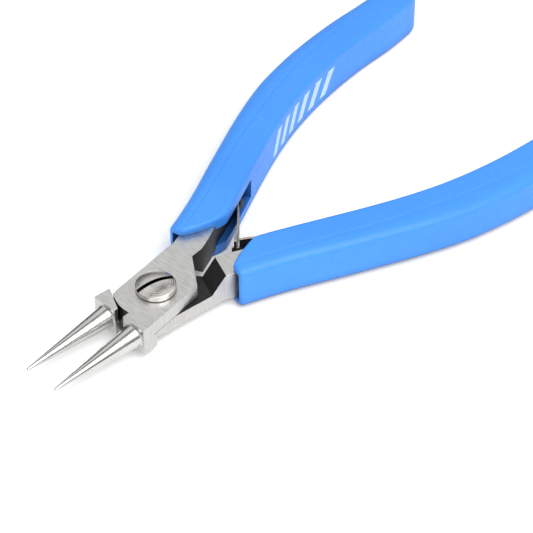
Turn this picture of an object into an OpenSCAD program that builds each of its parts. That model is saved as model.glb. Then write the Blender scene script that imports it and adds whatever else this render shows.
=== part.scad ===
// Round nose pliers for jewellery work: two lapped steel halves on a slotted
// pivot screw, conical jaws, a pair of interlocking leaf springs and moulded
// grips. Millimetres, +Z up, lying flat; the origin is under the middle of the
// tool, on the surface that the grips rest on. The tool is modelled relaxed,
// with the springs holding it open.

/* [Joint] */
// Thickness of each half where the two lie on each other
lap_t = 3.2; // [2.8:0.1:3.6]
// Width of the flat bar that both halves share when the jaws are shut
bar_w = 11.5; // [11:0.1:12]
// Angle that each half stands out from the shut position when relaxed
half_open = 6.55; // [6:0.05:7]

/* [Pivot screw] */
// Diameter of the screw head
head_d = 8; // [7:0.1:9]
// Height of the straight side of the head
head_side = 1.15; // [0.8:0.05:1.6]
// Rise of the dome above the side
head_dome = 0.95; // [0.6:0.05:1.3]
// Width of the driver slot
slot_w = 0.85; // [0.6:0.05:1.2]
// Diameter of the plain shoulder that the upper half turns on
shoulder_d = 5; // [4:0.1:6]
// Diameter of the threaded end
thread_d = 4; // [3:0.1:4.4]

/* [Jaws] */
// Distance from the pivot to the front face of the jaw blocks
block_y = 9.85; // [9.6:0.05:10.2]
// Length of each conical jaw in front of its block
jaw_len = 20.2; // [15:0.1:22]
// Distance of each jaw's axis from the middle line
jaw_x = 3.84; // [3.8:0.02:4]
// Diameter of a jaw at its root
jaw_root_d = 4.75; // [4:0.05:5]
// Diameter of a jaw at its tip
jaw_tip_d = 0.6; // [0.5:0.02:1]

/* [Springs] */
// Thickness of the leaf springs
leaf_t = 0.5; // [0.4:0.05:0.6]
// Width of the leaf springs
leaf_w = 4; // [3:0.1:4.2]

/* [Grips] */
// Height of the grips
grip_h = 10; // [9.6:0.1:10.4]
// Thickness of the grip wall beside the steel on its inner side
skin = 1.5; // [1.5:0.05:1.6]

/* [Hidden] */

fit = 0.02;                    // half of the running gap between the two flats
run = 0.05;                    // radial clearance of the shoulder
tip_y = block_y + jaw_len;
end_y = -109.6;                // rear end of the grips
mid_y = -(tip_y + end_y) / 2;
base_z = grip_h / 2;
steel = [0.78, 0.78, 0.77];
blue = [0.33, 0.63, 1.0];

function r2(p, a) = [p.x * cos(a) - p.y * sin(a), p.x * sin(a) + p.y * cos(a)];
function arc(r, a0, a1, n) = [for (i = [0:n]) r * [cos(a0 + (a1 - a0) * i / n), sin(a0 + (a1 - a0) * i / n)]];
// smooth curve through a list of points, t from 0 to len - 1
function cr(p, t) =
    let (n = len(p), i = min(n - 2, floor(t)), f = t - i,
         a = p[max(0, i - 1)], b = p[i], c = p[i + 1], d = p[min(n - 1, i + 2)])
    0.5 * (2 * b + (c - a) * f + (2 * a - 5 * b + 4 * c - d) * f * f + (3 * b - a - 3 * c + d) * f * f * f);
function unit(v) = v / norm(v);

// edges of the right-hand handle, from the joint to the rear end
grip_in  = [[1.2, -14.9], [4.2, -23.4], [6.8, -29.4], [9.4, -35.0], [13.5, -43.8], [17.5, -53.2],
            [20.8, -63.0], [23.3, -74.5], [24.7, -86.4], [25.1, -97.4], [25.9, -104.6]];
grip_w = [8.9, 9.2, 9.2, 9.3, 9.3, 9.5, 9.8, 9.7, 9.4, 9.2, 8.9];   // width across, at the same places
crease = [6.2, 6.2, 6.1, 6.0, 5.8, 5.4, 5.3, 5.6, 5.8, 5.8, 5.4];   // flat width of the top
tang_n = 9.35;                 // where along the handle the steel ends
tang_w0 = 6.0;                 // steel width at the front of the handle
tang_w1 = 4.6;                 // steel width at its rear end

function gi(t) = cr(grip_in, t);
function lerp(l, t) = let (i = min(len(l) - 2, floor(t))) l[i] + (l[i + 1] - l[i]) * (t - i);
function out_dir(t) = let (d = unit(gi(min(10, t + 0.1)) - gi(max(0, t - 0.1)))) [-d.y, d.x];
function go(t) = gi(t) + out_dir(t) * lerp(grip_w, t);
function across(t, u) = gi(t) + unit(go(t) - gi(t)) * u;
function tang_w(t) = tang_w0 + (tang_w1 - tang_w0) * t / tang_n;

// the tool's own frame to the row frame
module place() { translate([0, mid_y, base_z]) children(); }
// the lower half is the upper one turned over
module turned() { rotate([0, 180, 0]) children(); }
// a prism whose section lies across a plan direction at angle a
module prism(at, a, l) { translate(at) rotate([0, 0, a]) rotate([90, 0, 90]) linear_extrude(l, center = true) children(); }

// ---- steel half, drawn as the upper one: handle at +X, jaw at -X ----
bw = bar_w / 2;
plate = concat(
    arc(8.3, 50, 97.5, 16),
    [[-1.14, block_y], [-1.45, block_y], r2([-bw, 9.0], half_open), r2([-bw, -5.6], half_open),
     [1.6, -11.4], [1.8, -14.3], [3.1, -17.6], [5.4, -22.4], [8.6, -20.0],
     [7.9, -13.9], r2([bw, -12.4], half_open), r2([bw, 5.3], half_open), r2([bw - 0.3, 6.0], half_open)]);

function side_tang(e) = concat(
    [for (t = [1:0.25:tang_n]) across(t, skin - e)],
    [across(tang_n + 0.04 + e / 8, skin + 0.4 - e), across(tang_n + 0.04 + e / 8, skin + tang_w(tang_n) - 0.4 + e)],
    [for (t = [tang_n:-0.25:1]) across(t, skin + tang_w(t) + e)]);

shank = concat([[1.65, -10.8], [1.6, -11.4], [1.8, -14.3], [3.1, -17.6]], side_tang(0),
    [[7.9, -13.9], r2([bw, -12.4], half_open), r2([bw, -7.6], half_open)]);

block = [[-1.24, block_y], [-1.24, 8.93], r2([-bw, 6.9], half_open - 0.2), r2([-bw, 9.0], half_open),
         [-6.85, block_y]];

module jaw() {
    // cone with a small root fillet and a rounded tip
    r = jaw_root_d / 2; q = jaw_tip_d / 2;
    translate([-jaw_x, block_y, 0]) rotate([-90, 0, 0]) rotate_extrude($fn = 72)
        polygon(concat([[0, -1], [r + 0.25, -1], [r + 0.25, 0.0], [r + 0.06, 0.12], [r - 0.05, 0.4]],
            [for (a = [6:21:90]) [q * cos(a), jaw_len - q + q * sin(a)]], [[0, jaw_len]]));
}

module half_body() {
    difference() {
        union() {
            difference() {
                translate([0, 0, fit]) linear_extrude(lap_t - fit) polygon(plate);
                // shallow relief on the underside, behind the pivot
                prism([6.4, -4.6, 0], 20.6, 30) polygon([[0.5, -1], [0.5, fit - 0.001], [-0.4, 0.16], [-9, 0.16], [-9, -1]]);
            }
            translate([0, 0, -lap_t]) linear_extrude(2 * lap_t) polygon(block);
            difference() {
                translate([0, 0, -lap_t]) linear_extrude(2 * lap_t) polygon(shank);
                // the ramp that runs out of the recess
                prism([4.4, -9.7, 0], 23, 30)
                    polygon([[0.16, 0.16], [12, 0.16], [12, -5], [-5.1, -5], [0, 0]]);
            }
            jaw();
        }
        children();
    }
}

module upper_half() {
    color(steel) place() difference() {
        half_body() { cylinder(h = 10, r = shoulder_d / 2 + run, $fn = 96); }
        rivet_bore();
    }
}

module lower_half() {
    color(steel) place() difference() {
        turned() half_body() { cylinder(h = 10, r = thread_d / 2, $fn = 96); }
        turned() rivet_bore();
    }
}

module pivot_screw() {
    r = head_d / 2;
    rs = (r * r + head_dome * head_dome) / (2 * head_dome);   // radius of the dome
    color([0.75, 0.75, 0.74]) place() difference() {
        rotate_extrude($fn = 96) polygon(concat(
            [[0, -lap_t + 0.1], [thread_d / 2 - 0.35, -lap_t + 0.1], [thread_d / 2, -lap_t + 0.45], [thread_d / 2, -fit - 0.05],
             [shoulder_d / 2, -fit + 0.05], [shoulder_d / 2, lap_t + 0.03], [r - 0.1, lap_t + 0.03], [r, lap_t + 0.13]],
            [for (i = [0:7]) let (x = r * (7 - i) / 7, xx = i == 0 ? r : x)
                [xx, lap_t + head_side + sqrt(rs * rs - xx * xx) - rs + head_dome]]));
        rotate([0, 0, 74]) translate([0, 0, lap_t + head_side + 2]) cube([20, slot_w, 4 + 0.3], center = true);
    }
}

// ---- leaf springs ----
root_t = 2.5;                  // where along the handle the spring is riveted
play = 0.3;                    // room on each side of the leaf for its bending
rivet_at = across(root_t, skin);
rivet_dir = out_dir(root_t);
rivet_a = atan2(rivet_dir.y, rivet_dir.x);
fwd = [-rivet_dir.y, rivet_dir.x];
root = rivet_at - rivet_dir * (play + leaf_t / 2);
spring_path = [root - fwd * 1.2, root, root + fwd * 1.3, [6.6, -29.3], [3.5, -26.2], [1.6, -24.0], [0.8, -22.8], [0.1, -21.9], [-0.5, -21.3]];
last = len(spring_path) - 1;
function sp(t) = cr(spring_path, t);
function sn(t) = let (d = unit(sp(min(last, t + 0.05)) - sp(max(0, t - 0.05)))) [-d.y, d.x];
module across_rivet() { translate([rivet_at.x, rivet_at.y, 0]) rotate([0, 0, rivet_a]) rotate([0, 90, 0]) children(); }
module rivet_bore() { across_rivet() translate([0, 0, -1]) cylinder(h = 4.5, r = 0.8, $fn = 48); }

module leaf() {
    difference() {
        translate([0, 0, -leaf_w / 2]) linear_extrude(leaf_w)
            polygon(concat([for (t = [0:0.25:last]) sp(t) + sn(t) * leaf_t / 2], [for (t = [last:-0.25:0]) sp(t) - sn(t) * leaf_t / 2]));
        across_rivet() cylinder(h = 6, r = 1.0, center = true, $fn = 48);
        // the tip is a half-width tongue that passes the other leaf's
        translate([-4, -22.75, -leaf_w]) cube([8, 6, leaf_w + 0.1]);
    }
}
module upper_spring() { color([0.72, 0.69, 0.62]) place() leaf(); }
module lower_spring() { color([0.72, 0.69, 0.62]) place() turned() leaf(); }

module rivet() {
    k = -(leaf_t + 2 * play);
    across_rivet() rotate_extrude($fn = 48)
        polygon([[0, k - 0.35], [0.7, k - 0.33], [1.2, k - 0.15], [1.2, k], [0.78, k], [0.78, 3.4], [0, 3.4]]);
}
module upper_spring_rivet() { color([0.6, 0.6, 0.6]) place() rivet(); }
module lower_spring_rivet() { color([0.6, 0.6, 0.6]) place() turned() rivet(); }

// ---- moulded grips ----
function quarter(cx, cz, a, b, s0, s1, n) = [for (i = [0:n]) let (w = s0 + (s1 - s0) * i / n) [cx + a * cos(w), cz + b * sin(w)]];
// section across a handle of width w, half height h, flat on top as far as c
side_r = 1.7;                  // how deep the rounding of the outer edges goes
function section(w, h, c, r) = let (o = w - c) concat(
    quarter(r, h - r, r, r, 180, 90, 3),
    quarter(c, h - side_r, o, side_r, 90, 0, 5),
    quarter(c, -h + side_r, o, side_r, 0, -90, 5),
    quarter(r, -h + r, r, r, -90, -180, 3));
// rings: along the handle, then closing round the rear end
ends = 6;
function ring(t, k, push) =
    let (a = gi(t), b = go(t), d = unit(b - a), w = norm(b - a), m = (a + b) / 2, f = [d.y, -d.x],
         s = section(w, grip_h / 2, min(w - 1, lerp(crease, t)), 1.0))
    [for (q = s) let (p = m + d * (q.x - w / 2) * k + f * push) [p.x, p.y, q.y * (1 - 0.5 * (1 - k) * (1 - k))]];
reach = 5.5;
rings = concat(
    [for (t = [0:0.25:10]) ring(t, 1, 0)],
    [for (i = [1:ends]) let (a = 82 * i / ends) ring(10, cos(a), reach * sin(a) / sin(82))]);

module grip_shell() {
    n = len(rings); m = len(rings[0]);
    polyhedron(points = [for (r = rings) each r],
        faces = concat([[for (j = [m - 1:-1:0]) j]], [[for (j = [0:m - 1]) (n - 1) * m + j]],
            [for (i = [0:n - 2]) each [for (j = [0:m - 1]) each let (k = (j + 1) % m)
                [[i * m + j, i * m + k, (i + 1) * m + k], [i * m + j, (i + 1) * m + k, (i + 1) * m + j]]]]));
}

module grip_body() {
    difference() {
        grip_shell();
        // pocket for the steel, open at the front
        translate([0, 0, -lap_t - 0.05]) linear_extrude(2 * lap_t + 0.1)
            polygon(concat([[0.2, -11], [1.8, -15], [3.0, -17.6]], side_tang(0.05), [[9.0, -15.6], [8.4, -11]]));
        // slot that the leaf spring comes out of
        translate([0, 0, -leaf_w / 2 - 0.3]) linear_extrude(leaf_w + 0.6)
            polygon(concat([[-5, -10]], [for (t = [0.5:0.25:3.25]) across(t, -4)], [for (t = [3.25:-0.25:0.5]) across(t, skin + 0.5)], [[5, -10]]));
        // front end, cut back on a slant towards the inner side
        translate([0, 0, -10]) linear_extrude(20)
            polygon([[14, -8], [14, -11.9], [9.4, -13.4], [7.0, -14.1], [5.6, -17.3], [4.7, -20.6], [4.2, -23.2], [3.8, -24.0], [-6, -25], [-6, -8]]);
    }
}
module upper_grip() { color(blue) place() grip_body(); }
module lower_grip() { color(blue) place() turned() grip_body(); }

upper_half();
lower_half();
pivot_screw();
upper_spring();
lower_spring();
upper_spring_rivet();
lower_spring_rivet();
upper_grip();
lower_grip();
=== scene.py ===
import math
import bmesh
import bpy
import numpy as np
from mathutils import Matrix, Vector


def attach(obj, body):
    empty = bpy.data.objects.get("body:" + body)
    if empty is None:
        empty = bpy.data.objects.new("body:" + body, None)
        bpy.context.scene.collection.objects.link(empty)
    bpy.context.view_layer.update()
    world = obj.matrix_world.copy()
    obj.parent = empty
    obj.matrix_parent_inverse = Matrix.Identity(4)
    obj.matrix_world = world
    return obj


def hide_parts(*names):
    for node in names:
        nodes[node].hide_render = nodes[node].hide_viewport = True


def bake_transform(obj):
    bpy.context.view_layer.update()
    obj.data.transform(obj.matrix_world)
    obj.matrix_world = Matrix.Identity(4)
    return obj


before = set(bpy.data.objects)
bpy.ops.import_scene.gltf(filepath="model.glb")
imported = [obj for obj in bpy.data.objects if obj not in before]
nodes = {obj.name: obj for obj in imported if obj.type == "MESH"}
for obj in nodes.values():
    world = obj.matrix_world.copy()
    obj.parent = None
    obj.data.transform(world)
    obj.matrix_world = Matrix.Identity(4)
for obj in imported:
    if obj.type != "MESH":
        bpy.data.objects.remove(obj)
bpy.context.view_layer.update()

MM = 0.001

# the pivot's place in the row frame, in mm
PIV = np.array([0.0, 39.775, 5.0])


# ------------------------------------------------------------------ camera
def make_camera():
    cam = bpy.data.cameras.new("camera")
    ob = bpy.data.objects.new("camera", cam)
    bpy.context.scene.collection.objects.link(ob)
    right = Vector((-0.7198, -0.6942, 0.0))
    back = Vector((-0.5116, 0.5304, 0.6760))
    right.normalize(); back.normalize()
    up = back.cross(right).normalized()
    right = up.cross(back).normalized()
    m = Matrix((right, up, back)).transposed().to_4x4()
    m.translation = (Vector((-220.8, 198.1, 280.4)) + Vector(PIV)) * MM
    ob.matrix_world = m
    cam.sensor_width = 36.0
    cam.lens = 141.54
    cam.clip_start = 0.01
    cam.clip_end = 20
    bpy.context.scene.camera = ob
    return ob


make_camera()


# ------------------------------------------------------------------ materials
class Nodes:
    def __init__(self, name):
        self.mat = bpy.data.materials.new(name)
        self.mat.use_nodes = True
        self.t = self.mat.node_tree
        self.t.nodes.clear()
        self.out = self.t.nodes.new("ShaderNodeOutputMaterial")
        self.b = self.t.nodes.new("ShaderNodeBsdfPrincipled")
        self.t.links.new(self.b.outputs[0], self.out.inputs[0])
        self.co = self.t.nodes.new("ShaderNodeTexCoord").outputs["Object"]

    def link(self, a, b):
        self.t.links.new(a, b)

    def put(self, sock, v):
        if isinstance(v, (int, float)):
            sock.default_value = v
        elif isinstance(v, (tuple, list)):
            sock.default_value = tuple(v) + ((1.0,) if len(v) == 3 and len(sock.default_value) == 4 else ())
        else:
            self.link(v, sock)

    def math(self, op, a, b=0.0, c=0.0, clamp=False):
        n = self.t.nodes.new("ShaderNodeMath"); n.operation = op; n.use_clamp = clamp
        self.put(n.inputs[0], a); self.put(n.inputs[1], b)
        if op in ("MULTIPLY_ADD", "SMOOTH_MIN", "SMOOTH_MAX", "COMPARE"):
            self.put(n.inputs[2], c)
        return n.outputs[0]

    def mapping(self, scale, loc=(0, 0, 0), rot=(0, 0, 0), src=None):
        n = self.t.nodes.new("ShaderNodeMapping")
        self.link(src or self.co, n.inputs["Vector"])
        n.inputs["Scale"].default_value = scale
        n.inputs["Location"].default_value = loc
        n.inputs["Rotation"].default_value = rot
        return n.outputs[0]

    def noise(self, vec, scale=1.0, detail=3.0, rough=0.5):
        n = self.t.nodes.new("ShaderNodeTexNoise")
        self.link(vec, n.inputs["Vector"])
        n.inputs["Scale"].default_value = scale
        n.inputs["Detail"].default_value = detail
        n.inputs["Roughness"].default_value = rough
        return n.outputs[0]

    def ramp(self, fac, lo, hi, a=0.0, b=1.0, smooth=False):
        n = self.t.nodes.new("ShaderNodeMapRange")
        n.interpolation_type = "SMOOTHSTEP" if smooth else "LINEAR"
        self.put(n.inputs["Value"], fac)
        n.inputs["From Min"].default_value = lo; n.inputs["From Max"].default_value = hi
        n.inputs["To Min"].default_value = a; n.inputs["To Max"].default_value = b
        return n.outputs["Result"]

    def mix(self, fac, a, b):
        n = self.t.nodes.new("ShaderNodeMix"); n.data_type = "RGBA"
        self.put(n.inputs[0], fac); self.put(n.inputs[6], a); self.put(n.inputs[7], b)
        return n.outputs[2]

    def bump(self, h, strength=0.2, dist=0.0001, normal=None):
        n = self.t.nodes.new("ShaderNodeBump")
        n.inputs["Strength"].default_value = strength
        n.inputs["Distance"].default_value = dist
        self.link(h, n.inputs["Height"])
        if normal is not None:
            self.link(normal, n.inputs["Normal"])
        return n.outputs[0]

    def xyz(self, src=None):
        n = self.t.nodes.new("ShaderNodeSeparateXYZ")
        self.link(src or self.co, n.inputs[0])
        return n.outputs

    def normal(self):
        # the surface's own direction, in the object's coordinates
        n = self.t.nodes.new("ShaderNodeTexCoord")
        return n.outputs["Normal"]


def half_steel(name, sgn):
    """Ground steel of one half. sgn +1 for the upper half, -1 for the lower: positions and
    directions are turned over for the lower half so that one description serves both."""
    k = Nodes(name)
    x0, y0, z0 = k.xyz()
    x = k.math("MULTIPLY", x0, 1000.0 * sgn)
    y = k.math("MULTIPLY_ADD", y0, 1000.0, -PIV[1])
    z = k.math("MULTIPLY_ADD", k.math("MULTIPLY_ADD", z0, 1000.0, -PIV[2]), float(sgn), 0.0)
    nx0, ny0, nz0 = k.xyz(k.normal())
    nx = k.math("MULTIPLY", nx0, float(sgn)); ny = ny0; nz = k.math("MULTIPLY", nz0, float(sgn))

    # --- the blackened faces: every face of the recess, its ramp, the inner side of the
    # shank and the back of the jaw block
    def below(v, lim, soft=0.05):
        return k.ramp(v, lim - soft, lim + soft, 1.0, 0.0)

    def above(v, lim, soft=0.05):
        return k.ramp(v, lim - soft, lim + soft, 0.0, 1.0)
    lap = k.math("MULTIPLY", below(nz, -0.35), k.math("MULTIPLY", below(k.math("ABSOLUTE", z), 0.6), below(y, 9.0)))
    ramp = k.math("MULTIPLY", k.math("MULTIPLY", below(nz, -0.5), above(nz, -0.9)), k.math("MULTIPLY", above(ny, 0.4), k.math("MULTIPLY", below(y, -7.5), above(y, -16.0))))
    inner = k.math("MULTIPLY", below(nx, -0.75), below(y, -11.1, 0.1))
    arc = k.math("MULTIPLY", above(ny, 0.3, 0.1), k.math("MULTIPLY", below(y, 8.6), above(y, 6.0)))
    blockback = k.math("MULTIPLY", below(ny, -0.7), k.math("MULTIPLY", above(y, 5.5), below(z, 0.02)))
    dark = k.math("MAXIMUM", lap, ramp)
    dark = k.math("MAXIMUM", dark, inner)
    dark = k.math("MAXIMUM", dark, arc)
    dark = k.math("MAXIMUM", dark, blockback, clamp=True)

    # --- jaws are polished, the rest is ground
    jaw = above(y, 9.95, 0.05)

    # grinding lines run across the tool on the flats, and up and down on the sides
    flats = k.math("ABSOLUTE", nz)
    lines_a = k.noise(k.mapping((380, 12000, 2000), rot=(0, 0, 0.22)), 1.0, 5, 0.66)
    lines_b = k.noise(k.mapping((5200, 5200, 420)), 1.0, 4, 0.6)
    lines = k.mix(k.ramp(flats, 0.6, 0.8), lines_b, lines_a)
    blotch = k.noise(k.mapping((420, 260, 300)), 1.0, 4, 0.6)
    fine = k.noise(k.mapping((2600, 2600, 2600)), 1.0, 3, 0.6)
    polish = k.noise(k.mapping((3600, 160, 3600)), 1.0, 3, 0.5)

    tone = k.ramp(blotch, 0.3, 0.7, 0.0, 1.0)
    bright = k.mix(tone, (0.44, 0.435, 0.42), (0.58, 0.575, 0.56))
    bright = k.mix(k.ramp(lines, 0.38, 0.62, 0.0, 0.75), bright, (0.84, 0.835, 0.82))
    polished = k.mix(k.ramp(polish, 0.3, 0.7), (0.56, 0.555, 0.54), (0.68, 0.675, 0.66))
    # painted shading: the narrow sides are pulled a little towards one plain grey, set apart from the flats for how
    # the light falls on them
    side = k.math("MULTIPLY", k.ramp(flats, 0.5, 0.8, 1.0, 0.0), k.math("SUBTRACT", 1.0, jaw))
    bright = k.mix(k.math("MULTIPLY", side, 0.55), bright, (0.50, 0.49, 0.47))
    # painted shade of the thin gap in the joint between the two halves
    seam_gap_shade = k.math("MULTIPLY", k.ramp(flats, 0.5, 0.6, 1.0, 0.0), k.math("MULTIPLY", below(z, 0.16, 0.06), k.math("MULTIPLY", above(z, -0.05, 0.02), k.math("MULTIPLY", below(y, 6.9), above(y, -8.6)))))
    bright = k.mix(k.math("MULTIPLY", seam_gap_shade, 0.85), bright, (0.04, 0.038, 0.035))
    bright = k.mix(jaw, bright, polished)
    black = k.mix(k.ramp(fine, 0.35, 0.7), (0.012, 0.012, 0.013), (0.035, 0.034, 0.033))
    k.put(k.b.inputs["Base Color"], k.mix(dark, bright, black))
    k.put(k.b.inputs["Metallic"], k.ramp(dark, 0, 1, 1.0, 0.55))
    r_ground = k.ramp(lines, 0.3, 0.7, 0.27, 0.44)
    r_pol = k.ramp(polish, 0.3, 0.7, 0.13, 0.24)
    mixr = k.math("ADD", k.math("MULTIPLY", r_ground, k.math("SUBTRACT", 1.0, jaw)), k.math("MULTIPLY", r_pol, jaw))
    rough = k.math("ADD", k.math("MULTIPLY", mixr, k.math("SUBTRACT", 1.0, dark)), k.math("MULTIPLY", k.ramp(fine, 0.3, 0.7, 0.34, 0.5), dark))
    k.put(k.b.inputs["Roughness"], rough)
    h = k.math("MULTIPLY", lines, k.math("SUBTRACT", 1.0, jaw))
    bev = k.t.nodes.new("ShaderNodeBevel")
    bev.samples = 6
    bev.inputs["Radius"].default_value = 0.00016
    n1 = k.bump(h, 0.35, 0.00003, bev.outputs[0])
    n2 = k.bump(k.math("MULTIPLY", fine, k.math("MULTIPLY_ADD", jaw, -0.85, 1.0)), 0.12, 0.00003, n1)
    k.link(n2, k.b.inputs["Normal"])
    return k.mat


def screw_steel():
    k = Nodes("turned_steel")
    x0, y0, z0 = k.xyz()
    y = k.math("SUBTRACT", y0, PIV[1] * MM)
    r = k.math("SQRT", k.math("ADD", k.math("MULTIPLY", x0, x0), k.math("MULTIPLY", y, y)))
    comb = k.t.nodes.new("ShaderNodeCombineXYZ")
    k.link(r, comb.inputs[0])
    k.link(k.math("MULTIPLY", z0, 0.15), comb.inputs[1])
    rings = k.noise(k.mapping((7000, 3000, 1), src=comb.outputs[0]), 1.0, 3, 0.6)
    ang = k.math("ARCTAN2", y, x0)
    comb2 = k.t.nodes.new("ShaderNodeCombineXYZ")
    k.link(ang, comb2.inputs[0])
    streak = k.noise(k.mapping((5, 1, 1), src=comb2.outputs[0]), 1.0, 2, 0.5)
    blotch = k.noise(k.mapping((700, 700, 700)), 1.0, 3, 0.6)
    col = k.mix(k.ramp(rings, 0.3, 0.7), (0.56, 0.55, 0.52), (0.78, 0.77, 0.74))
    col = k.mix(k.ramp(blotch, 0.45, 0.75, 0.0, 0.35), col, (0.36, 0.34, 0.31))
    # painted shade: the slot is painted dark inside
    across = k.math("ABSOLUTE", k.math("SUBTRACT", k.math("MULTIPLY", x0, math.sin(math.radians(74))), k.math("MULTIPLY", y, math.cos(math.radians(74)))))
    slot = k.math("MULTIPLY", k.ramp(across, 0.00044, 0.00045, 1.0, 0.0), k.ramp(z0, 0.0090, 0.0091, 0.0, 1.0))
    # painted contact shade: a dark ring where the head stands on the plate
    foot_contact_shade = k.ramp(z0, 0.00855, 0.00835, 0.0, 0.8)
    col = k.mix(k.math("MAXIMUM", slot, foot_contact_shade), col, (0.03, 0.028, 0.026))
    k.put(k.b.inputs["Base Color"], col)
    tan = k.t.nodes.new("ShaderNodeTangent"); tan.direction_type = "RADIAL"; tan.axis = "Z"
    k.link(tan.outputs[0], k.b.inputs["Tangent"])
    k.b.inputs["Anisotropic"].default_value = 0.7
    k.b.inputs["Metallic"].default_value = 1.0
    k.put(k.b.inputs["Roughness"], k.math("ADD", k.ramp(rings, 0.3, 0.7, 0.2, 0.34), k.ramp(streak, 0.3, 0.7, -0.04, 0.06)))
    n = k.bump(rings, 0.12, 0.00001)
    k.link(n, k.b.inputs["Normal"])
    return k.mat


def rivet_steel():
    k = Nodes("dark_rivet")
    n = k.noise(k.mapping((2500, 2500, 2500)), 1.0, 3, 0.6)
    k.put(k.b.inputs["Base Color"], k.mix(k.ramp(n, 0.3, 0.7), (0.012, 0.012, 0.012), (0.03, 0.029, 0.028)))
    k.b.inputs["Metallic"].default_value = 0.2
    k.b.inputs["Specular IOR Level"].default_value = 0.3
    k.put(k.b.inputs["Roughness"], k.ramp(n, 0.3, 0.7, 0.5, 0.65))
    k.link(k.bump(n, 0.2, 0.00002), k.b.inputs["Normal"])
    return k.mat


def spring_steel():
    k = Nodes("leaf_steel")
    grain = k.noise(k.mapping((1500, 1500, 9000)), 1.0, 4, 0.6)
    blotch = k.noise(k.mapping((500, 500, 500)), 1.0, 3, 0.5)
    col = k.mix(k.ramp(grain, 0.3, 0.7), (0.40, 0.35, 0.28), (0.60, 0.54, 0.45))
    col = k.mix(k.ramp(blotch, 0.4, 0.7, 0.0, 0.4), col, (0.30, 0.25, 0.20))
    # the broad faces are blackened, with faint drawn lines; the cut edges are bare
    nx0, ny0, nz0 = k.xyz(k.normal())
    face = k.ramp(k.math("ABSOLUTE", nz0), 0.45, 0.7, 1.0, 0.0)
    drawn = k.noise(k.mapping((60, 60, 2600)), 1.0, 3, 0.5)
    black = k.mix(k.ramp(drawn, 0.45, 0.75), (0.012, 0.011, 0.010), (0.075, 0.068, 0.058))
    k.put(k.b.inputs["Base Color"], k.mix(face, col, black))
    k.put(k.b.inputs["Metallic"], k.ramp(face, 0, 1, 1.0, 0.5))
    k.put(k.b.inputs["Roughness"], k.ramp(grain, 0.3, 0.7, 0.28, 0.45))
    k.link(k.bump(grain, 0.3, 0.00002), k.b.inputs["Normal"])
    return k.mat


def grip_plastic():
    k = Nodes("moulded_grip")
    fine = k.noise(k.mapping((5200, 5200, 5200)), 1.0, 3, 0.6)
    mid = k.noise(k.mapping((700, 700, 700)), 1.0, 4, 0.55)
    big = k.noise(k.mapping((45, 45, 45)), 1.0, 3, 0.5)
    # faint scuffs along the handles
    scuff = k.noise(k.mapping((900, 90, 900), rot=(0, 0, 0.25)), 1.0, 5, 0.65)
    col = k.mix(k.ramp(big, 0.3, 0.7), (0.046, 0.275, 0.86), (0.056, 0.305, 0.92))
    col = k.mix(k.ramp(mid, 0.35, 0.75, 0.0, 0.30), col, (0.040, 0.255, 0.82))
    col = k.mix(k.ramp(scuff, 0.60, 0.80, 0.0, 0.22), col, (0.085, 0.34, 0.95))
    # painted shade deep in the slot and the pocket, from an occlusion mask
    ao = k.t.nodes.new("ShaderNodeAmbientOcclusion")
    ao.samples = 8; ao.inputs["Distance"].default_value = 0.007
    shade = k.ramp(ao.outputs["AO"], 0.30, 0.72, 1.0, 0.0)
    col = k.mix(k.math("MULTIPLY", shade, 0.85), col, (0.006, 0.035, 0.16))
    k.put(k.b.inputs["Base Color"], col)
    k.put(k.b.inputs["Roughness"], k.math("ADD", k.ramp(mid, 0.3, 0.7, 0.42, 0.52), k.ramp(scuff, 0.55, 0.8, 0.0, 0.07)))
    k.b.inputs["IOR"].default_value = 1.48
    n = k.bump(fine, 0.10, 0.00004)
    n = k.bump(mid, 0.10, 0.00015, n)
    k.link(n, k.b.inputs["Normal"])
    return k.mat


def print_ink():
    k = Nodes("pale_print")
    n = k.noise(k.mapping((2500, 2500, 2500)), 1.0, 4, 0.6)
    k.put(k.b.inputs["Base Color"], k.mix(k.ramp(n, 0.35, 0.7), (0.42, 0.62, 0.98), (0.66, 0.80, 1.0)))
    k.put(k.b.inputs["Roughness"], k.ramp(n, 0.3, 0.7, 0.4, 0.6))
    k.link(k.bump(n, 0.1, 0.00003), k.b.inputs["Normal"])
    return k.mat


M_UP = half_steel("ground_steel_upper", 1)
M_LO = half_steel("ground_steel_lower", -1)
M_SCREW = screw_steel()
M_RIVET = rivet_steel()
M_LEAF = spring_steel()
M_GRIP = grip_plastic()
M_INK = print_ink()


def set_mat(o, m):
    if o.material_slots:
        for s in o.material_slots:
            s.material = m
    else:
        o.data.materials.append(m)


def cad_finish(o, m, bevel=0.00012, angle=32):
    set_mat(o, m)
    w = o.modifiers.new("join", "WELD"); w.merge_threshold = 0.000002
    d = o.modifiers.new("flatten", "DECIMATE"); d.decimate_type = "DISSOLVE"
    d.angle_limit = math.radians(0.6)
    b = o.modifiers.new("edges", "BEVEL")
    b.width = bevel; b.segments = 3; b.limit_method = "ANGLE"; b.angle_limit = math.radians(angle)
    b.harden_normals = False
    b.use_clamp_overlap = True
    n = o.modifiers.new("shade", "WEIGHTED_NORMAL"); n.keep_sharp = True; n.weight = 80
    for p in o.data.polygons:
        p.use_smooth = True


# ------------------------------------------------------------------ handle line (as in the CAD source)
GRIP_IN = np.array([[1.2, -14.9], [4.2, -23.4], [6.8, -29.4], [9.4, -35.0], [13.5, -43.8], [17.5, -53.2],
                    [20.8, -63.0], [23.3, -74.5], [24.7, -86.4], [25.1, -97.4], [25.9, -104.6]])
GRIP_W = np.array([8.9, 9.2, 9.2, 9.3, 9.3, 9.5, 9.8, 9.7, 9.4, 9.2, 8.9])
CREASE = np.array([6.2, 6.2, 6.1, 6.0, 5.8, 5.4, 5.3, 5.6, 5.8, 5.8, 5.4])
HH = 5.0
SIDE_R = 1.7
SKIN = 1.5


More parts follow.
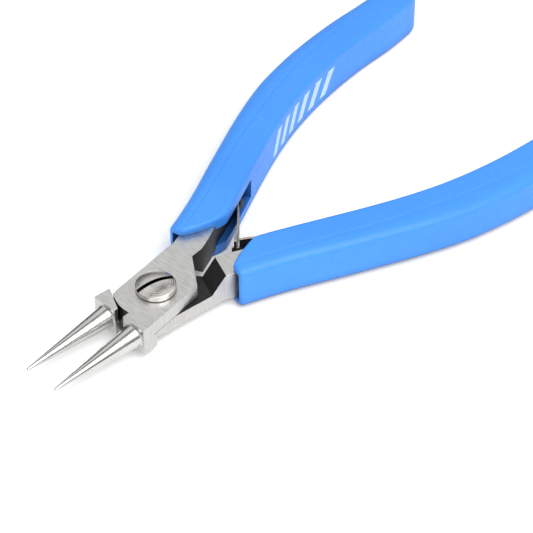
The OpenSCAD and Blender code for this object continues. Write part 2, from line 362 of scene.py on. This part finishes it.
def cr(p, t):
    n = len(p)
    i = int(max(0, min(n - 2, math.floor(t))))
    f = t - i
    a, b, c, d = p[max(0, i - 1)], p[i], p[i + 1], p[min(n - 1, i + 2)]
    if t < 0:
        return p[0] + (p[1] - p[0]) * 0.95 * t
    return 0.5 * (2 * b + (c - a) * f + (2 * a - 5 * b + 4 * c - d) * f * f + (3 * b - a - 3 * c + d) * f ** 3)


def gi(t):
    return cr(GRIP_IN, t)


def lerp(l, t):
    t = max(0.0, t)
    i = int(min(len(l) - 2, math.floor(t)))
    return l[i] + (l[i + 1] - l[i]) * (t - i)


def out_dir(t):
    d = gi(min(10, t + 0.1)) - gi(max(-0.3, t - 0.1))
    d = d / np.linalg.norm(d)
    return np.array([-d[1], d[0]])


def at(t, u):
    return gi(t) + out_dir(t) * u


def tang_w(t):
    return 6.0 + (4.6 - 6.0) * t / 9.35


def to_row(x, y, z, sgn):
    return (sgn * x * MM, (y + PIV[1]) * MM, (sgn * z + PIV[2]) * MM)


FRONT = [(3.8, -24.0), (4.2, -23.2), (4.7, -20.6), (5.6, -17.3), (7.0, -14.1), (9.4, -13.4), (14.0, -11.9)]


def y_front(x):
    """front boundary of the grip in plan"""
    if x <= FRONT[0][0]:
        return FRONT[0][1] + (x - FRONT[0][0]) * 0.1
    for (xa, ya), (xb, yb) in zip(FRONT, FRONT[1:]):
        if x <= xb:
            return ya + (yb - ya) * (x - xa) / (xb - xa)
    return FRONT[-1][1]


def t_front(u):
    lo, hi = -0.3, 2.0
    for _ in range(40):
        m = (lo + hi) / 2
        p = at(m, u)
        if p[1] - y_front(p[0]) > 0:
            lo = m
        else:
            hi = m
    return hi


def section_pts(w, c):
    """(u, z, nu, nz, tag) round the section, starting at the bottom of the inner side, going up"""
    r = 1.05
    pts = []
    def corner(cx, cz, a, b, s0, s1, n):
        for i in range(n + 1):
            s = math.radians(s0 + (s1 - s0) * i / n)
            nu, nz = math.cos(s) / a, math.sin(s) / b
            l = math.hypot(nu, nz)
            pts.append((cx + a * math.cos(s), cz + b * math.sin(s), nu / l, nz / l))
    # inner side, from bottom to top
    for z in np.linspace(-HH + r, HH - r, 15)[1:-1]:
        pts.append((0.0, float(z), -1.0, 0.0))
    corner(r, HH - r, r, r, 180, 90, 7)
    for k in range(1, 8):
        pts.append((r + (c - 0.35 - r) * k / 8, HH, 0.0, 1.0))
    # crease: a fine step down, then the rounding
    pts.append((c - 0.35, HH, 0.0, 1.0))
    pts.append((c - 0.14, HH - 0.01, 0.0, 1.0))
    pts.append((c, HH - 0.10, 0.0, 1.0))
    pts.append((c + 0.16, HH - 0.06, 0.0, 1.0))
    o = w - c - 0.3
    corner(c + 0.3, HH - SIDE_R, o, SIDE_R - 0.05, 88, 0, 11)
    for z in np.linspace(HH - SIDE_R, -HH + SIDE_R, 9)[1:-1]:
        pts.append((w, float(z), 1.0, 0.0))
    corner(c + 0.3, -HH + SIDE_R, o, SIDE_R - 0.05, 0, -88, 11)
    pts.append((c + 0.16, -HH + 0.06, 0.0, -1.0))
    pts.append((c, -HH + 0.10, 0.0, -1.0))
    pts.append((c - 0.14, -HH + 0.01, 0.0, -1.0))
    pts.append((c - 0.35, -HH, 0.0, -1.0))
    for k in range(7, 0, -1):
        pts.append((r + (c - 0.35 - r) * k / 8, -HH, 0.0, -1.0))
    corner(r, -HH + r, r, r, -90, -180, 7)
    return np.array(pts)


def smooth(mesh, angle=38):
    bm = bmesh.new(); bm.from_mesh(mesh)
    for f in bm.faces:
        f.smooth = True
    for e in bm.edges:
        e.smooth = not (len(e.link_faces) == 2 and e.calc_face_angle(0) > math.radians(angle))
    bm.to_mesh(mesh); bm.free()


def new_obj(name, verts, faces, mat=None):
    me = bpy.data.meshes.new(name)
    me.from_pydata([tuple(v) for v in verts], [], faces)
    me.validate()
    o = bpy.data.objects.new(name, me)
    bpy.context.scene.collection.objects.link(o)
    if mat:
        me.materials.append(mat)
    return o


def tidy(o, dist=1e-6):
    bm = bmesh.new(); bm.from_mesh(o.data)
    bmesh.ops.remove_doubles(bm, verts=bm.verts, dist=dist)
    bmesh.ops.dissolve_degenerate(bm, edges=bm.edges, dist=dist * 0.5)
    bmesh.ops.recalc_face_normals(bm, faces=bm.faces)
    bm.to_mesh(o.data); bm.free()


def apply_mods(o):
    dg = bpy.context.evaluated_depsgraph_get()
    dg.update()
    me = bpy.data.meshes.new_from_object(o.evaluated_get(dg))
    old = o.data
    o.modifiers.clear()
    o.data = me
    bpy.data.meshes.remove(old)


def build_grip(name, sgn):
    lip = 0.85
    depth_t = 3.45
    # rows along the handle: the front lip, then the body, then the rear end
    s0 = section_pts(lerp(GRIP_W, 0), lerp(CREASE, 0))
    m = len(s0)
    us = np.linspace(-1.5, 11.0, 251)
    tfs = np.array([t_front(u) for u in us])
    # the front boundary is smoothed a little, so that its corners are moulded
    for _ in range(30):
        tfs[1:-1] = (tfs[:-2] + tfs[1:-1] * 2 + tfs[2:]) / 4

    def TF(u):
        return float(np.interp(u, us, tfs))
    tf = np.array([TF(u) for u in s0[:, 0]])
    rows = []
    psis = np.radians([0, 14, 28, 42, 56, 70, 82, 90])
    L = 6.3  # about how many mm one step of t is, at the front
    for ps in psis:
        s, e = lip * (1 - math.cos(ps)), lip * (1 - math.sin(ps))
        row = []
        for j in range(m):
            u, z = s0[j][0] - s0[j][2] * e, s0[j][1] - s0[j][3] * e
            t = TF(u) + s / 8.0
            sec = section_pts(lerp(GRIP_W, t), lerp(CREASE, t))[j]
            u, z = sec[0] - sec[2] * e, sec[1] - sec[3] * e
            p = at(t, u)
            row.append((p[0], p[1], z))
        rows.append(row)
    n = 120
    for i in range(1, n + 1):
        k = i / n
        row = []
        for j in range(m):
            a = tf[j] + lip / 8.0
            t = a + (10 - a) * k
            sec = section_pts(lerp(GRIP_W, t), lerp(CREASE, t))[j]
            p = at(t, sec[0])
            row.append((p[0], p[1], sec[1]))
        rows.append(row)
    # rear end
    t = 10
    w = lerp(GRIP_W, t)
    d = out_dir(t); f = np.array([d[1], -d[0]])
    sec = section_pts(w, lerp(CREASE, t))
    reach = 5.5
    for i in range(1, 13):
        a = math.radians(85 * i / 12)
        kk = math.cos(a)
        push = reach * math.sin(a) / math.sin(math.radians(85))
        mid = gi(t) + d * w / 2
        row = []
        for j in range(m):
            p = mid + d * (sec[j][0] - w / 2) * kk + f * push
            row.append((p[0], p[1], sec[j][1] * (1 - 0.5 * (1 - kk) ** 2)))
        rows.append(row)
    verts, faces = [], []
    for r in rows:
        for p in r:
            verts.append(to_row(*p, sgn))
    R = len(rows)
    for i in range(R - 1):
        for j in range(m):
            k = (j + 1) % m
            faces.append((i * m + j, i * m + k, (i + 1) * m + k, (i + 1) * m + j))
    # rear cap
    c = np.mean(np.array(verts[(R - 1) * m:R * m]), axis=0)
    verts.append(tuple(c)); ci = len(verts) - 1
    for j in range(m):
        faces.append(((R - 1) * m + j, (R - 1) * m + (j + 1) % m, ci))
    # front face and pocket, down to depth_t
    base = len(verts)
    first = rows[0]
    inner_rows = []
    for q in range(0, 13):
        row = []
        for j in range(m):
            u0 = s0[j][0]; z0 = s0[j][1]
            t0 = TF(min(max(u0, SKIN - 0.06), SKIN + 6.5)) + 0.012
            t = t0 + (depth_t - t0) * (q / 12)
            tw = tang_w(t) + (0.5 if q == 0 else 0.5 * max(0, 1 - q / 4))
            u = min(max(u0, SKIN - 0.06), SKIN + 0.06 + tw)
            z = min(max(z0, -3.27), 3.27)
            if abs(z0) < 3.27 and SKIN < u0 < SKIN + tw:
                z = math.copysign(3.27, z0)
            p = at(t, u)
            row.append((p[0], p[1], z))
        inner_rows.append(row)
    for r in inner_rows:
        for p in r:
            verts.append(to_row(*p, sgn))
    for j in range(m):
        k = (j + 1) % m
        faces.append((k, j, base + j, base + k))
    for q in range(12):
        for j in range(m):
            k = (j + 1) % m
            a = base + q * m
            faces.append((a + k, a + j, a + m + j, a + m + k))
    last = base + 12 * m
    c = np.mean(np.array(verts[last:last + m]), axis=0)
    verts.append(tuple(c)); ci = len(verts) - 1
    for j in range(m):
        faces.append((last + (j + 1) % m, last + j, ci))
    o = new_obj(name, verts, faces, M_GRIP)
    tidy(o)
    # slot for the leaf spring
    cut_slot(o, sgn)
    smooth(o.data, 40)
    n = o.modifiers.new("shade", "WEIGHTED_NORMAL"); n.keep_sharp = True
    return o


def cut_slot(o, sgn):
    verts, faces = [], []
    hz, rr = 2.3, 0.6
    prof = []
    ts = np.linspace(0.2, 3.25, 26)
    # section of the slot in (u, z)
    loop = [(-3.0, hz), (SKIN - 0.02, hz), (SKIN - 0.02, -hz), (-3.0, -hz)]
    for t in ts:
        for u, z in loop:
            p = at(t, u)
            verts.append(to_row(p[0], p[1], z, sgn))
    n = len(ts)
    for i in range(n - 1):
        for j in range(4):
            k = (j + 1) % 4
            faces.append((i * 4 + j, i * 4 + k, i * 4 + 4 + k, i * 4 + 4 + j))
    faces.append((3, 2, 1, 0))
    faces.append(tuple((n - 1) * 4 + j for j in range(4)))
    c = new_obj("slot_cutter", verts, faces)
    tidy(c)
    b = o.modifiers.new("slot", "BOOLEAN"); b.operation = "DIFFERENCE"; b.object = c; b.solver = "EXACT"
    before = len(o.data.vertices)
    whole = o.data.copy()
    apply_mods(o)
    if len(o.data.vertices) < before * 0.5:
        o.data = whole
    bpy.data.objects.remove(c, do_unlink=True)


def turned_copy(o, name, mat):
    """the same piece for the lower half: half a turn about the tool's long axis"""
    me = o.data.copy()
    me.name = name
    for v in me.vertices:
        v.co.x = -v.co.x
        v.co.z = 2 * PIV[2] * MM - v.co.z
    c = bpy.data.objects.new(name, me)
    bpy.context.scene.collection.objects.link(c)
    n = c.modifiers.new("shade", "WEIGHTED_NORMAL"); n.keep_sharp = True
    return c


# ------------------------------------------------------------------ leaf springs
def out_frame(t):
    d = out_dir(t)
    return d, np.array([-d[1], d[0]])


ROOT_T = 2.5
RIV = at(ROOT_T, SKIN)
RDIR, RFWD = out_frame(ROOT_T)
ROOT = RIV - RDIR * 0.55
PATH = np.array([ROOT - RFWD * 1.2, ROOT, ROOT + RFWD * 1.3, [6.6, -29.3], [3.5, -26.2], [1.6, -24.0], [0.8, -22.8], [0.1, -21.9], [-0.5, -21.3]])


def build_leaf(name, sgn):
    ht = 0.25
    hw = 2.0
    rr = 0.1
    n = 90
    verts, faces = [], []
    # rounded strip section: (across thickness, across width)
    def sec(h, z0, z1):
        pts = []
        for cx, cz, s0 in ((h - rr, z1 - rr, 0), (-h + rr, z1 - rr, 90), (-h + rr, z0 + rr, 180), (h - rr, z0 + rr, 270)):
            for i in range(5):
                a = math.radians(s0 + 90 * i / 4)
                pts.append((cx + rr * math.cos(a), cz + rr * math.sin(a)))
        return pts
    L = len(PATH) - 1
    m = 20
    stops = [(L * i / n, 0) for i in range(n + 1)]
    cut = 6.35
    stops = [q for q in stops if q[0] < cut - 0.02] + [(cut, 0), (cut, 1)] + [(q[0], 1) for q in stops if q[0] > cut + 0.02]
    for t, tongue in stops:
        p = cr(PATH, t)
        d = cr(PATH, min(L, t + 0.03)) - cr(PATH, max(0, t - 0.03))
        d = d / np.linalg.norm(d)
        nn = np.array([-d[1], d[0]])
        # rounded root corners; the tip is a half-width tongue that passes its neighbour
        z0, z1 = -hw, hw
        if t < 0.35:
            q = 0.55 + 0.45 * math.sqrt(max(0, 1 - (1 - t / 0.35) ** 2))
            z0, z1 = -hw * q, hw * q
        if tongue:
            z0 = 0.12
            g = max(0.0, (t - (L - 0.35)) / 0.35)
            z1 = hw - 0.6 * (1 - math.sqrt(max(0.0, 1 - g * g)))
        for a, b in sec(ht, z0, z1):
            v = p + nn * a
            verts.append(to_row(v[0], v[1], b, sgn))
    n = len(stops) - 1
    for i in range(n):
        for j in range(m):
            k = (j + 1) % m
            faces.append((i * m + j, i * m + m + j, i * m + m + k, i * m + k))
    faces.append(tuple(range(m)))
    faces.append(tuple(n * m + j for j in range(m - 1, -1, -1)))
    o = new_obj(name, verts, faces, M_LEAF)
    tidy(o)
    smooth(o.data, 40)
    w = o.modifiers.new("shade", "WEIGHTED_NORMAL"); w.keep_sharp = True
    return o


# ------------------------------------------------------------------ build
cad_finish(nodes["upper_half"], M_UP)
cad_finish(nodes["lower_half"], M_LO)
cad_finish(nodes["pivot_screw"], M_SCREW, 0.0001, 40)
cad_finish(nodes["upper_spring_rivet"], M_RIVET, 0.00008, 40)
cad_finish(nodes["lower_spring_rivet"], M_RIVET, 0.00008, 40)

grip1 = build_grip("upper_grip_moulding", 1)
leaf1 = build_leaf("upper_leaf_spring", 1)
grip2 = turned_copy(grip1, "lower_grip_moulding", M_GRIP)
leaf2 = turned_copy(leaf1, "lower_leaf_spring", M_LEAF)
for side, sgn, g, s in (("upper", 1, grip1, leaf1), ("lower", -1, grip2, leaf2)):
    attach(g, side)
    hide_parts(side + "_grip")
    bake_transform(s)
    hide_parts(side + "_spring")


def build_marks():
    """six plain slanted bars printed on the inner side of the upper grip"""
    verts, faces = [], []
    for b in range(6):
        t0 = 4.75 + b * 0.42
        nt, nz = 5, 9
        base = len(verts)
        for face_u in (-0.02, 0.06):
            for i in range(nt):
                for j in range(nz):
                    z = -2.7 + 5.4 * j / (nz - 1)
                    t = t0 + 0.20 * i / (nt - 1) + 0.055 * z
                    p = at(t, face_u)
                    verts.append(to_row(p[0], p[1], z, 1))
        q = nt * nz
        def idx(f, i, j):
            return base + f * q + i * nz + j
        for i in range(nt - 1):
            for j in range(nz - 1):
                faces.append((idx(0, i, j), idx(0, i, j + 1), idx(0, i + 1, j + 1), idx(0, i + 1, j)))
                faces.append((idx(1, i, j), idx(1, i + 1, j), idx(1, i + 1, j + 1), idx(1, i, j + 1)))
        for i in range(nt - 1):
            faces.append((idx(0, i, 0), idx(0, i + 1, 0), idx(1, i + 1, 0), idx(1, i, 0)))
            faces.append((idx(0, i, nz - 1), idx(1, i, nz - 1), idx(1, i + 1, nz - 1), idx(0, i + 1, nz - 1)))
        for j in range(nz - 1):
            faces.append((idx(0, 0, j), idx(1, 0, j), idx(1, 0, j + 1), idx(0, 0, j + 1)))
            faces.append((idx(0, nt - 1, j), idx(0, nt - 1, j + 1), idx(1, nt - 1, j + 1), idx(1, nt - 1, j)))
    o = new_obj("upper_grip_bars", verts, faces, M_INK)
    tidy(o, 1e-7)
    return o


marks = build_marks()
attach(marks, "upper")


# ------------------------------------------------------------------ stage
def stage():
    s = 3.0
    floor = new_obj("floor", [(-s, -s, -0.0002), (s, -s, -0.0002), (s, s, -0.0002), (-s, s, -0.0002)], [(0, 1, 2, 3)])
    k = Nodes("floor_white")
    n = k.noise(k.mapping((6, 6, 6)), 1.0, 2, 0.5)
    k.put(k.b.inputs["Base Color"], k.mix(n, (0.93, 0.93, 0.93), (0.95, 0.95, 0.95)))
    k.b.inputs["Roughness"].default_value = 0.9
    k.b.inputs["Specular IOR Level"].default_value = 0.1
    k.b.inputs["Emission Color"].default_value = (1, 1, 1, 1)
    k.b.inputs["Emission Strength"].default_value = 0.15
    floor.data.materials.append(k.mat)
    w = bpy.data.worlds.new("studio"); bpy.context.scene.world = w
    w.use_nodes = True
    t = w.node_tree
    bg = t.nodes["Background"]
    tc = t.nodes.new("ShaderNodeTexCoord")
    sep = t.nodes.new("ShaderNodeSeparateXYZ")
    t.links.new(tc.outputs["Generated"], sep.inputs[0])
    rp = t.nodes.new("ShaderNodeValToRGB")
    e = rp.color_ramp.elements
    e[0].position = 0.0; e[0].color = (0.5, 0.5, 0.5, 1)
    e[1].position = 1.0; e[1].color = (1, 1, 1, 1)
    for pos, v in ((0.10, 0.22), (0.24, 0.25), (0.36, 0.75), (0.55, 1.0)):
        q = e.new(pos); q.color = (v, v, v, 1)
    t.links.new(sep.outputs[2], rp.inputs[0])
    # two dark cards that give the bright metal its streaks
    rx = t.nodes.new("ShaderNodeValToRGB")
    e = rx.color_ramp.elements
    e[0].position = 0.0; e[0].color = (1, 1, 1, 1)
    e[1].position = 1.0; e[1].color = (0.3, 0.3, 0.3, 1)
    for pos, v in ((0.07, 1.0), (0.13, 0.08), (0.20, 0.08), (0.26, 1.0), (0.50, 1.0), (0.55, 0.10), (0.60, 0.10), (0.65, 1.0), (0.88, 1.0), (0.93, 0.3)):
        q = e.new(pos); q.color = (v, v, v, 1)
    mr = t.nodes.new("ShaderNodeMapRange")
    mr.inputs["From Min"].default_value = -1; mr.inputs["From Max"].default_value = 1
    t.links.new(sep.outputs[0], mr.inputs["Value"])
    t.links.new(mr.outputs[0], rx.inputs[0])
    mx = t.nodes.new("ShaderNodeMix"); mx.data_type = "RGBA"; mx.blend_type = "MULTIPLY"
    mx.inputs[0].default_value = 1.0
    t.links.new(rp.outputs[0], mx.inputs[6]); t.links.new(rx.outputs[0], mx.inputs[7])
    t.links.new(mx.outputs[2], bg.inputs[0])
    bg.inputs[1].default_value = 0.92

    def area(name, loc, target, size, power, size_y=None):
        l = bpy.data.lights.new(name, "AREA")
        l.energy = power; l.size = size
        if size_y:
            l.shape = "RECTANGLE"; l.size_y = size_y
        o = bpy.data.objects.new(name, l)
        bpy.context.scene.collection.objects.link(o)
        o.location = loc
        o.rotation_euler = (Vector(target) - Vector(loc)).to_track_quat("-Z", "Y").to_euler()
    c = (0, 0.02, 0)
    area("key", (-0.42, 0.05, 0.62), c, 0.5, 4.0)
    area("fill", (-0.30, 0.62, 0.45), c, 0.4, 1.2)


stage()
bpy.context.scene.view_settings.view_transform = "Standard"
bpy.context.view_layer.update()
